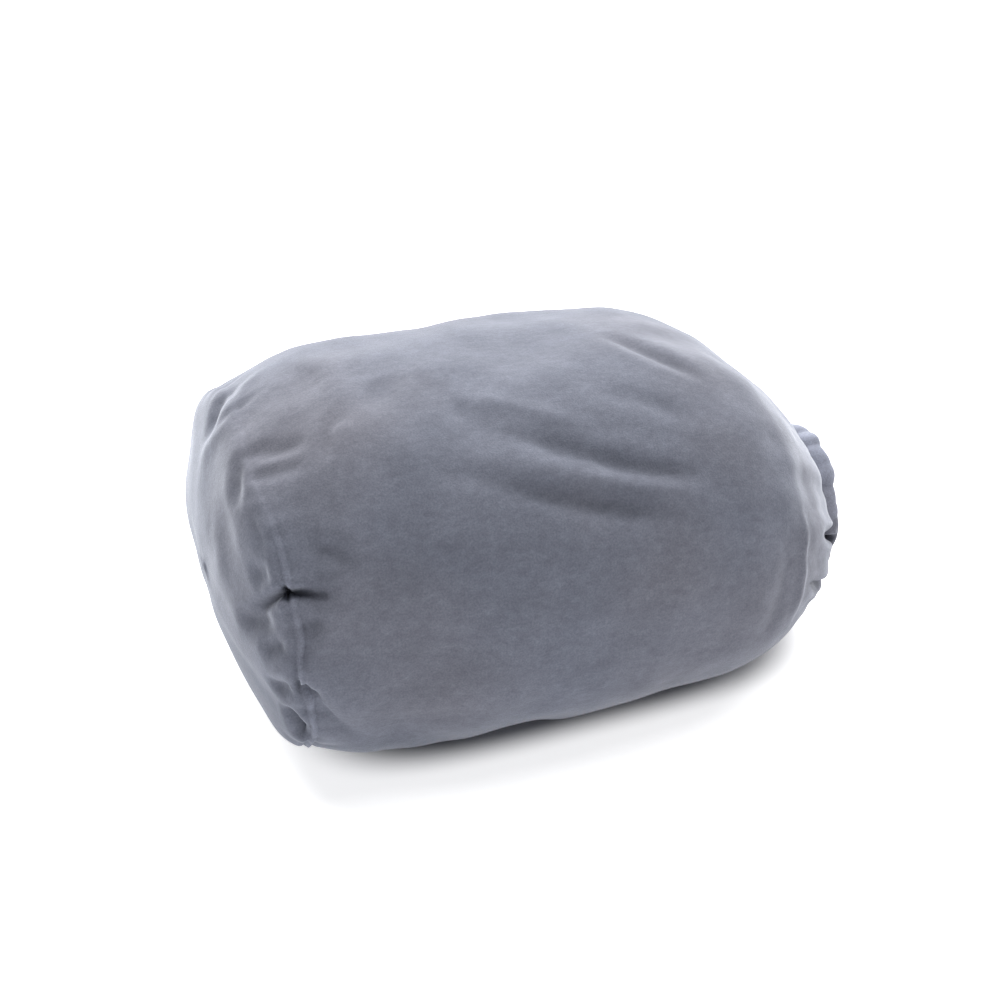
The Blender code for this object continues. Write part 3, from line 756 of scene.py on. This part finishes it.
# degrees, and how strongly the seam shows: the pile hides it on the top
SEAM_STRENGTH = np.array(
    ((0, 0.8), (30, 0.4), (60, 0.0), (120, 0.0), (140, 0.7), (200, 1.0), (360, 0.8))
)
SIDE_SEAM_DEGREES = 309
SIDE_SEAM_WIDTH = 0.0009
SIDE_SEAM_DEPTH = 0.0011
MOUTH_SWELL = 0.0030
SOFT_WAVES = ((0.00045, 0.055), (0.00022, 0.022))  # heights and lengths of the uneven cloth
SETTLE = 0.0003  # nothing of the pouch goes lower than this
TUCK = 0.0035  # how far the panel's edge turns in past the seam
TUCK_SHRINK = 0.03
LINING_START = 0.0008
# the sleeve's turned-in edge behind its mouth: share along the sleeve, metres inward
LINING = ((0.985, 0.0030), (0.95, 0.0042), (0.91, 0.0048), (0.87, 0.0052))


def pouch_rows():
    """The rows' places: along the panel, then along the sleeve, closer near the seam."""
    t = np.linspace(0, 1, DOME_ROWS)
    scales = 0.03 + 0.97 * np.sin(t * math.pi / 2) ** 1.15
    u = np.linspace(0, 1, SLEEVE_ROWS)
    shares = u - 0.55 * np.sin(2 * math.pi * u) / (2 * math.pi)
    return np.concatenate((scales - 1, shares[1:]))


def build_pouch():
    """The grid of the end panel and sleeve, simulated and then creased, and its painted shade and
    highlight.
    """
    along, around = np.meshgrid(pouch_rows(), AROUND, indexing="ij")
    grid = place(along, around)
    grid = grid + cloth_shift(grid, along)
    normal = normals_of(grid)
    radius = np.linalg.norm(grid[..., 1:] - np.array((0, MOUTH_Z)), axis=-1)
    grid -= normal * gather_depth(along, around, radius)[..., None]
    swell = MOUTH_SWELL * smoothstep(0.80, 0.95, along) * (1 - smoothstep(0.96, 1.0, along))
    grid += normal * swell[..., None]
    normal = normals_of(grid)
    shade = np.zeros(grid.shape[:2])
    # each fold also adds its painted shade
    for width, depth, rims, ends, way in FOLDS + tuple(seam_puckers()):
        press(grid, normal, fold_path(way), width / 1000, depth / 1000, rims, ends, shade)
    add_seam(grid, normals_of(grid), along, shade)
    # painted highlight on the sleeve beside the mouth, which lies in shade
    shade -= MOUTH_PAINTED_HIGHLIGHT * smoothstep(0.80, 0.96, along)
    side = fold_path([(share, SIDE_SEAM_DEGREES) for share in (0.012, 0.5, 0.93)], 60)
    size = (SIDE_SEAM_WIDTH, SIDE_SEAM_DEPTH)
    press(grid, normals_of(grid), side, *size, 0.25, (0.02, 0.02))
    body = smoothstep(0.0, 0.1, along) * (1 - smoothstep(0.8, 0.95, along))
    soft = sum(high * ripple(grid, long, SEED + i) for i, (high, long) in enumerate(SOFT_WAVES, 2))
    grid += normals_of(grid) * (soft * (0.6 + 0.4 * body))[..., None]
    grid[..., 2] = np.maximum(grid[..., 2], SETTLE)
    return grid, shade


def cloth_shift(grid, along):
    """How far the cloth moves the grid, from a run on every second row and column."""
    coarse = grid[::COARSE, ::COARSE]
    coarse_along = along[::COARSE, ::COARSE]
    points, faces = closed_grid(coarse)
    held = np.concatenate(((coarse_along.ravel() > CLOTH_HELD) * 1.0, (0.0, 1.0)))
    seam = np.exp(-((coarse_along.ravel() / CLOTH_SEAM) ** 2))
    moved = inflated(points, faces, held, np.concatenate((seam, (0.0, 0.0))))
    shift = moved[: coarse_along.size].reshape(coarse.shape) - coarse
    length = np.linalg.norm(shift, axis=-1, keepdims=True)
    shift *= np.minimum(1, CLOTH_CAP / np.maximum(length, 1e-9))
    shift -= CLOTH_FORM * broad(shift, CLOTH_BROAD, 3)
    shift = broad(shift, 3, CLOTH_EASE)
    smoother = broad(shift, PANEL_BROAD, CLOTH_EASE)
    shift = np.where((coarse_along < 0)[..., None], smoother, shift)
    return refine(shift)[: grid.shape[0], : grid.shape[1]]


def add_seam(grid, normal, along, shade):
    """The end seam: its turned edge stands proud between two shallow grooves, with a painted
    highlight along that edge.
    """
    rim = np.argmin(np.abs(along[:, 0]))
    distance = np.linalg.norm(grid - grid[rim][None], axis=-1)
    proud = np.exp(-((distance / SEAM_RIDGE_WIDTH) ** 2))
    groove = np.exp(-(((distance - 2 * SEAM_RIDGE_WIDTH) / SEAM_GROOVE_WIDTH) ** 2))
    side = np.where(along < 0, 1.0, 0.5)
    strength = smooth_table(SEAM_STRENGTH, 1, AROUND)[None]
    proud *= 1 - np.clip(shade, 0, 1)
    moved = SEAM_RIDGE_HEIGHT * proud - SEAM_GROOVE_DEPTH * groove * side
    grid += normal * (moved * strength)[..., None]
    # painted highlight along the seam's raised edge
    shade -= SEAM_PAINTED_HIGHLIGHT * proud * strength


def set_shade(piece, shade):
    """Stores the painted shade of the creases and the painted highlights, for the velour to show.
    """
    values = np.zeros(len(piece.data.vertices), np.float32)
    values[: shade.size] = shade.ravel()
    attribute = piece.data.attributes.new(PAINTED_LIGHT_ATTRIBUTE, "FLOAT", "POINT")
    attribute.data.foreach_set("value", values)


def set_normals(piece, first, normals):
    """Gives a run of points the normals of the whole grid, so no edge shows in the light."""
    mesh = piece.data
    mesh.update()
    own = np.zeros(len(mesh.vertices) * 3, np.float32)
    mesh.vertex_normals.foreach_get("vector", own)
    own = own.reshape(-1, 3)
    own[first : first + len(normals)] = normals
    mesh.normals_split_custom_set_from_vertices(own.tolist())


def pouch_pieces():
    grid, shade = build_pouch()
    normals = normals_of(grid)
    rim = DOME_ROWS - 1
    panel = grid[: rim + 1]
    tuck = panel[-1] + np.array((TUCK, 0, 0)) - TUCK_SHRINK * (panel[-1] - panel[-1].mean(0))
    points, faces = closed_grid(np.concatenate((panel, tuck[None])))
    faces = [f for f in faces if len(points) - 1 not in f]
    end = add_piece("pouch_end_cloth", points, faces, VELOUR, "pouch")
    set_shade(end, shade[: rim + 1])
    set_normals(end, rim * COLUMNS, normals[rim])
    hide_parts("pouch_end_panel")
    body = grid[rim:]
    centre = np.array((0.0, MOUTH_Z))
    lining = [body[-1] + np.array((LINING_START, 0, 0))]
    for share, inward in LINING:
        ring = body[np.argmin(np.abs(pouch_rows() - share)) - rim].copy()
        off = ring[:, 1:] - centre
        ring[:, 1:] = centre + off * (1 - inward / np.linalg.norm(off, axis=1, keepdims=True))
        lining.append(ring)
    body = np.concatenate((body, np.array(lining)))
    faces = grid_faces(len(body), COLUMNS)
    tube_cloth = add_piece("pouch_sleeve_cloth", body, faces, VELOUR, "pouch")
    set_shade(tube_cloth, shade[rim:])
    set_normals(tube_cloth, 0, normals[rim])
    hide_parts("pouch_sleeve")
    return grid


CHANNEL_RADIUS = 0.031  # about the middle of its table above
RIB_MIDDLE = 0.45  # the ribs stand out from here, and the pleats go in
RIB_HEIGHT = 0.0021
RIB_FORWARD = 0.0016
HEM_WAVE = 0.0005


def channel_grid():
    """The gathered channel round the mouth, as a closed ring."""
    around, angle = np.meshgrid(AROUND, full_turn(CHANNEL_ROWS))
    length = CHANNEL_HALF_LENGTH * signed_power(-np.cos(angle), 0.8)
    thick = CHANNEL_HALF_THICKNESS * signed_power(np.sin(angle), 0.8)
    valley = gather_depth(np.full_like(around, 1.0), around, CHANNEL_RADIUS) / GATHER_DEPTH
    hill = RIB_MIDDLE - valley
    spots = np.stack((np.radians(around) * 0.03, angle * 0.004, 0 * angle), -1)
    wander = 0.6 * ripple(spots, 0.016, SEED + 5)
    outward = thick * (1 + 0.10 * wander) + RIB_HEIGHT * hill * (0.35 + 0.65 * np.sin(angle))
    forward = length + RIB_FORWARD * hill * np.clip(-np.cos(angle), 0, 1) + HEM_WAVE * wander
    return channel_ring(around, outward, forward)


# deep pleats in the channel's face, with painted shade in them: degrees where each starts and ends,
# its rows' turns, width and depth in mm
HEM_PLEATS = (
    (184, 187, (50, 125), 1.5, 4.0),
    (203, 207, (45, 120), 1.7, 4.2),
    (214, 217, (60, 110), 1.1, 2.0),
)
PLEAT_FADE = (0.3, 0.3)


def channel_piece():
    grid = channel_grid()
    valley = gather_depth(np.full_like(grid[..., 0], 1.0), AROUND, CHANNEL_RADIUS)
    # painted shade in the pleats between the ribs and in the deep pleats
    shade = HEM_SHADE * valley / GATHER_DEPTH
    # painted highlight over the whole channel
    shade -= HEM_PAINTED_HIGHLIGHT
    normal = normals_of(grid)
    for start, end, turns, width, depth in HEM_PLEATS:
        rows = np.linspace(*turns, 4) / 360 * CHANNEL_ROWS
        columns = np.linspace(start, end, 4) / 360 * COLUMNS
        path = [grid[round(row), round(column)] for row, column in zip(rows, columns)]
        press(grid, normal, path, width / 1000, depth / 1000, 0.3, PLEAT_FADE, shade)
    faces = grid_faces(CHANNEL_ROWS, COLUMNS, True)
    hem = add_piece("drawcord_channel_cloth", grid, faces, VELOUR, "pouch")
    set_shade(hem, shade)
    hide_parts("drawcord_channel")


# ---------------------------------------------------------------- inside the pouch
COVER_INSET = 0.0095
COVER_CAP_ROWS = 60
THROAT_SHARE = 0.88
THROAT_BULGE = 0.0050
FILL_INSET = 0.0150
INNER_COLUMNS = 128
ROLL_TURNS = 2.4
ROLL_REACH = 0.9  # share of the roll's end that its outermost turn reaches
ROLL_WIDTH = 0.0032
ROLL_DEPTH = 0.0045
TAPE_INSET = 0.0068
TAPE_HALF_WIDTH = 0.0035
TAPE_HALF_THICKNESS = 0.0005


def shell(inset, last_share, bulge, rows=46, cap_rows=18):
    """A closed form at an even depth inside the pouch, with a domed end in its throat."""
    t = np.linspace(0, 1, rows)
    panel = 0.06 + 0.94 * np.sin(t * math.pi / 2)
    lengths = np.linspace(0, last_share, rows * 2)[1:]
    along = np.concatenate((panel - 1, lengths))
    degrees = np.linspace(0, 360, INNER_COLUMNS, endpoint=False)
    grid = place(*np.meshgrid(along, degrees, indexing="ij"))
    grid = grid - normals_of(grid) * inset
    ring = grid[-1]
    middle = ring.mean(0)
    caps = []
    for scale in np.cos(np.linspace(0, math.pi / 2, cap_rows + 1)[1:-1]):
        cap = middle + (ring - middle) * scale
        cap[:, 0] += bulge * (1 - scale**2)
        caps.append(cap)
    grid = np.concatenate((grid, np.array(caps)))
    grid[..., 2] = np.maximum(grid[..., 2], inset * 0.5)
    return grid


def pillow_pieces():
    """The rolled pillow: its cover, with the roll's end showing in the throat, and its filling."""
    grid = shell(COVER_INSET, THROAT_SHARE, THROAT_BULGE, cap_rows=COVER_CAP_ROWS)
    middle = grid[-1].mean(0)
    rim = np.abs(grid[1 - COVER_CAP_ROWS] - middle).max(0)
    turn = np.linspace(0.15, 1, 90)
    angle = turn * ROLL_TURNS * 2 * math.pi
    x = middle[0] - THROAT_BULGE * turn**2
    y = rim[1] * ROLL_REACH * turn * np.cos(angle)
    z = middle[2] + rim[2] * ROLL_REACH * turn * np.sin(angle)
    spiral = np.stack((x, y, z), -1)
    press(grid, normals_of(grid), spiral, ROLL_WIDTH, ROLL_DEPTH, 0.25, (0.1, 0.1))
    points, faces = closed_grid(grid)
    cover = add_piece("pillow_cover", points, faces, COVER, "pouch")
    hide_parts("pillow_front_panel", "pillow_back_panel")
    points, faces = closed_grid(shell(FILL_INSET, THROAT_SHARE - 0.03, THROAT_BULGE / 2))
    fill = add_piece("pillow_foam", points, faces, FOAM, "pouch")
    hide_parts("pillow_fill")


def band(path, along_axis, outward, closed):
    """Points and faces of a flat tape: half widths along one axis and outward."""
    turn = full_turn(16)
    width = TAPE_HALF_WIDTH * signed_power(np.cos(turn), 0.35)[:, None]
    thick = TAPE_HALF_THICKNESS * signed_power(np.sin(turn), 0.6)[:, None]
    grid = path[:, None] + along_axis[:, None] * width + outward[:, None] * thick
    if closed:
        return grid.reshape(-1, 3), grid_faces(len(grid), len(turn), True)
    return closed_grid(grid)


def tape_pieces():
    """The binding behind the end seam and the tape along the sleeve's own seam."""
    degrees = np.linspace(0, 360, 240, endpoint=False)
    path = sleeve(np.full(240, 0.03), degrees)
    ahead = unit(sleeve(np.full(240, 0.04), degrees) - path)
    outward = unit(np.cross(np.roll(path, -1, 0) - np.roll(path, 1, 0), ahead))
    points, faces = band(path - outward * TAPE_INSET, ahead, outward, True)
    binding = add_piece("seam_binding_tape", points, faces, TAPE, "pouch")
    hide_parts("end_seam_binding")
    shares = np.linspace(0.09, 0.74, 90)
    path = sleeve(shares, np.full(90, float(SIDE_SEAM_DEGREES)))
    beside = unit(sleeve(shares, np.full(90, SIDE_SEAM_DEGREES + 1.0)) - path)
    outward = unit(np.cross(beside, np.gradient(path, axis=0)))
    points, faces = band(path - outward * TAPE_INSET, beside, outward, False)
    tape = add_piece("sleeve_tape", points, faces, TAPE, "pouch")
    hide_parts("sleeve_seam_tape")


# ---------------------------------------------------------------- cord, knots, eyelets, lock
CORD_RADIUS = 0.0012
TAIL_HALF_GAP = 0.0045
TAIL_X = 0.1290
TAIL_TOP_Z = 0.0592
KNOT_Z = 0.0614
KNOT_RADIUS = 0.0019
LOCK_LOW_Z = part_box("cord_lock_body")[0].z
EYELET_BORE = 0.0016
EYELET_FLANGE = 0.0036
EYELET_HALF_HEIGHT = 0.0007


def smooth_path(points, count):
    """A smooth line of evenly counted points through the given ones."""
    points = np.asarray(points, float)
    steps = np.linalg.norm(np.diff(points, axis=0), axis=1)
    along = np.concatenate(((0,), np.cumsum(steps)))
    table = np.column_stack((along, points))
    at = np.linspace(0, along[-1], count)
    return np.stack([smooth_table(table, i, at) for i in (1, 2, 3)], -1)


def bottom_degrees(side):
    """The angle at which the cord leaves the channel, on the side of +Y or -Y."""
    return 270 + side * math.degrees(math.asin(TAIL_HALF_GAP / CHANNEL_RADIUS))


def braided(path, radius):
    """A tube whose skin rises and falls like a braid of eight strands."""
    points, faces = tube(path, radius, 16)
    rings = (len(points) - 2) // 16
    skin = points[:-2].reshape(rings, 16, 3)
    middle = skin.mean(1, keepdims=True)
    i, j = np.meshgrid(np.arange(rings), np.arange(16), indexing="ij")
    weave = np.sin(i * 0.9 + j * math.pi / 2) * np.sin(i * 0.9 - j * math.pi / 2)
    skin = middle + (skin - middle) * (1 + 0.07 * weave[..., None])
    return np.concatenate((skin.reshape(-1, 3), points[-2:])), faces


def cord_pieces():
    """One cord: a knot, down through the lock, round the channel and back up to its twin."""
    left, right = bottom_degrees(-1), bottom_degrees(1)
    ring = channel_ring(np.linspace(left - 12, right - 360 + 12, 70))
    ends = []
    for side, degrees in ((-1, left), (1, right)):
        y = side * TAIL_HALF_GAP
        eyelet = channel_ring(np.array([degrees]), -CHANNEL_HALF_THICKNESS - 0.0008)[0]
        start = channel_ring(np.array([degrees + side * 4.0]), -0.0015)[0]
        bend = ((eyelet[0] + TAIL_X) / 2, y, (eyelet[2] + LOCK_LOW_Z) / 2 + 0.0006)
        heights = (TAIL_TOP_Z, 0.045, LOCK_LOW_Z + 0.002)
        ends.append(np.array([*((TAIL_X, y, z) for z in heights), bend, eyelet, start]))
    way = np.concatenate((ends[0], ring, ends[1][::-1]))
    points, faces = braided(smooth_path(way, 620), CORD_RADIUS)
    cord = add_piece("drawcord_braid", points, faces, CORD, "pouch")
    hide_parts("drawcord")
    t = full_turn(120)
    x, y = np.sin(t) + 2 * np.sin(2 * t), np.cos(t) - 2 * np.cos(2 * t)
    trefoil = np.stack((x, y, -1.3 * np.sin(3 * t)), -1)
    for side, name in ((-1, "left"), (1, "right")):
        turned = trefoil * (KNOT_RADIUS / 3.6)
        turned[:, 0] *= side
        path = turned[::side] + (TAIL_X, side * TAIL_HALF_GAP, KNOT_Z)
        knot_points, knot_faces = tube(path, CORD_RADIUS * 0.72, 12, True)
        knot = add_piece(f"cord_knot_{name}_tied", knot_points, knot_faces, CORD, "pouch")
        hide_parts(f"cord_knot_{name}")


def eyelet_pieces():
    """Rolled eyelets in the channel's inner face, where the cord comes out."""
    roll = full_turn(20)
    mean = (EYELET_BORE + EYELET_FLANGE) / 2
    half = (EYELET_FLANGE - EYELET_BORE) / 2
    turn = full_turn(48)[:, None, None]
    radius = (mean + half * np.cos(roll))[:, None]
    height = (EYELET_HALF_HEIGHT * np.sin(roll) * (1.2 + 0.5 * np.cos(roll)))[:, None]
    across = np.array((1.0, 0, 0))
    for side, name in ((-1, "left"), (1, "right")):
        degrees = bottom_degrees(side)
        seat = channel_ring(np.array([degrees]), -CHANNEL_HALF_THICKNESS - 0.0003)[0]
        outward = np.array((0, math.cos(math.radians(degrees)), math.sin(math.radians(degrees))))
        beside = np.cross(outward, across)
        grid = seat + radius * np.cos(turn) * across + radius * np.sin(turn) * beside
        grid = grid - height * outward
        faces = grid_faces(len(turn), len(roll), True)
        eyelet = add_piece(f"eyelet_{name}_rolled", grid, faces, EYELET, "pouch")
        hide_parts(f"cord_eyelet_{name}")


SPRING_TURNS = 5.0
SPRING_WIRE = 0.00025


def lock_pieces():
    """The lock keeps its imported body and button; its spring is wound finely here."""
    low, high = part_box("cord_lock_spring")
    radius = (high.z - low.z) / 2 - SPRING_WIRE
    middle_z = (high.z + low.z) / 2
    t = np.linspace(0, 1, 400)
    angle = t * SPRING_TURNS * 2 * math.pi
    start, end = low.x + SPRING_WIRE, high.x - SPRING_WIRE
    x, y, z = start + (end - start) * t, radius * np.cos(angle), radius * np.sin(angle)
    path = np.stack((x, y, middle_z + z), -1)
    points, faces = tube(path, SPRING_WIRE, 10)
    spring = add_piece("lock_spring_coil", points, faces, SPRING, "cord_lock")
    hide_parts("cord_lock_spring")
    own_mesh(spring)
    for name in ("cord_lock_body", "cord_lock_plunger"):
        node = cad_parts[name]
        node.data.materials.clear()
        node.data.materials.append(PLASTIC)


def label_piece():
    """A small blank label, folded and sewn into the pillow's edge seam."""
    low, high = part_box("care_label")
    width = np.linspace(low.y, high.y, 14)
    t = np.linspace(0, 1, 40)
    reach = (high.x - low.x - 0.0004) * np.sin(t * math.pi)
    lift = 0.0011 * np.cos(t * math.pi) * np.sin(t * math.pi) ** 0.25
    skin = []
    for thick in (0.00014, -0.00014):
        sheet = np.zeros((len(t), len(width), 3))
        sheet[..., 0] = low.x + reach[:, None] + thick
        sheet[..., 1] = width[None]
        sheet[..., 2] = (low.z + high.z) / 2 + lift[:, None] * (1 + thick / 0.0011)
        sheet[..., 2] += 0.0004 * np.sin(width * 500)[None] * np.sin(t * math.pi)[:, None]
        skin.append(sheet)
    ring = np.concatenate((skin[0], skin[1][:, ::-1]), axis=1)
    points, faces = closed_grid(ring)
    label = add_piece("care_label_folded", points, faces, LABEL, "pouch")
    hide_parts("care_label")


STITCH_LENGTH = 0.0021
STITCH_GAP = 0.0011
STITCH_RADIUS = 0.00022
STITCH_RISE = 0.0003
STITCH_SINK = 0.0001
STITCH_ROW = -5  # counted from the sleeve's edge at the channel


def stitch_piece(grid):
    """Stitches that hold the channel, on a row of the sleeve's grid."""
    line, outward = (
        np.append(field[STITCH_ROW], field[STITCH_ROW, :1], 0) for field in (grid, normals_of(grid))
    )
    at = np.concatenate(((0,), np.cumsum(np.linalg.norm(np.diff(line, axis=0), axis=1))))
    count = int(at[-1] / (STITCH_LENGTH + STITCH_GAP))
    lift = (STITCH_RISE * np.sin(np.linspace(0, math.pi, 7)) - STITCH_SINK)[:, None]
    parts = []
    for start in np.arange(count) * at[-1] / count:
        t = start + np.linspace(0, STITCH_LENGTH, 7)
        middle, proud = (
            np.stack([np.interp(t, at, field[:, k]) for k in range(3)], -1)
            for field in (line, outward)
        )
        parts.append(tube(middle + lift * proud, STITCH_RADIUS, 8))
    points, faces = joined(parts)
    add_piece("channel_stitches", points, faces, THREAD, "pouch")


# ---------------------------------------------------------------- floor and light
FLOOR_REACH = 6.0
FLOOR_GLOW = 0.75
CONTACT_HALF = (0.141, 0.0885)  # half length and half width of the painted contact shadow under the pouch
CONTACT_EDGE = (0.66, 0.87)  # the glow rises over these shares of that


def shade_contact(tree, shader):
    """Paints a contact shadow into the floor: takes its glow away under the pouch and just round
    it, as a rounded square.
    """
    power = coordinates(tree, (1 / CONTACT_HALF[0], 1 / CONTACT_HALF[1], 0))
    for _ in range(2):
        links = {0: power, 1: power}
        power = add_node(tree, "VectorMath", {}, links, operation="MULTIPLY").outputs["Vector"]
    total = add_node(tree, "VectorMath", {1: (1, 1, 1)}, {0: power}, operation="DOT_PRODUCT")
    root = add_node(tree, "Math", {1: 0.25}, {0: total.outputs["Value"]}, operation="POWER")
    values = {"From Min": CONTACT_EDGE[0], "From Max": CONTACT_EDGE[1], "To Max": FLOOR_GLOW}
    links = {"Value": root.outputs["Value"]}
    spread = add_node(tree, "MapRange", values, links, interpolation_type="SMOOTHSTEP")
    tree.links.new(spread.outputs["Result"], shader.inputs["Emission Strength"])


def add_stage():
    """A pale floor that reaches far beyond the view."""
    mesh = bpy.data.meshes.new("floor")
    signs = ((-1, -1), (1, -1), (1, 1), (-1, 1))
    corners = [(FLOOR_REACH * i, FLOOR_REACH * j, 0) for i, j in signs]
    mesh.from_pydata(corners, [], [(0, 1, 2, 3)])
    floor = linked("floor", mesh)
    material, tree, shader = new_material("floor", 0.9)
    shader.inputs["Base Color"].default_value = (0.72, 0.72, 0.73, 1)
    shader.inputs["Emission Color"].default_value = (1, 1, 1, 1)
    # painted contact shadow under the pouch
    shade_contact(tree, shader)
    shader.inputs["Specular IOR Level"].default_value = 0.1
    mesh.materials.append(material)


WORLD_STRENGTH = 0.20
# name, strength, spread in degrees and the way that the light goes
LAMPS = (
    ("overhead", 6.1, 80, (-0.26, -0.48, -1.0)),
    ("rear", 4.5, 50, (-0.22, -1.0, -0.36)),
)


def add_lights():
    world = bpy.data.worlds.new("world")
    SCENE.world = world
    world.use_nodes = True
    tree = world.node_tree
    background = tree.nodes["Background"]
    background.inputs["Color"].default_value = (0.93, 0.95, 1.0, 1)
    background.inputs["Strength"].default_value = WORLD_STRENGTH
    seen = add_node(tree, "Background", {"Color": (1.0, 1.0, 1.0, 1)}, {}).outputs["Background"]
    camera_ray = add_node(tree, "LightPath", {}, {}).outputs["Is Camera Ray"]
    links = {"Fac": camera_ray, 1: background.outputs["Background"], 2: seen}
    mix = add_node(tree, "MixShader", {}, links)
    tree.links.new(mix.outputs["Shader"], tree.nodes["World Output"].inputs["Surface"])
    for name, energy, spread, direction in LAMPS:
        light = bpy.data.lights.new(name, "SUN")
        light.energy = energy
        light.angle = math.radians(spread)
        light.color = (1.0, 0.995, 0.985)
        lamp = linked(name, light)
        lamp.rotation_euler = Vector(direction).to_track_quat("-Z", "Y").to_euler()


add_camera()
add_stage()
add_lights()
pouch = pouch_pieces()
channel_piece()
stitch_piece(pouch)
pillow_pieces()
tape_pieces()
cord_pieces()
eyelet_pieces()
lock_pieces()
label_piece()
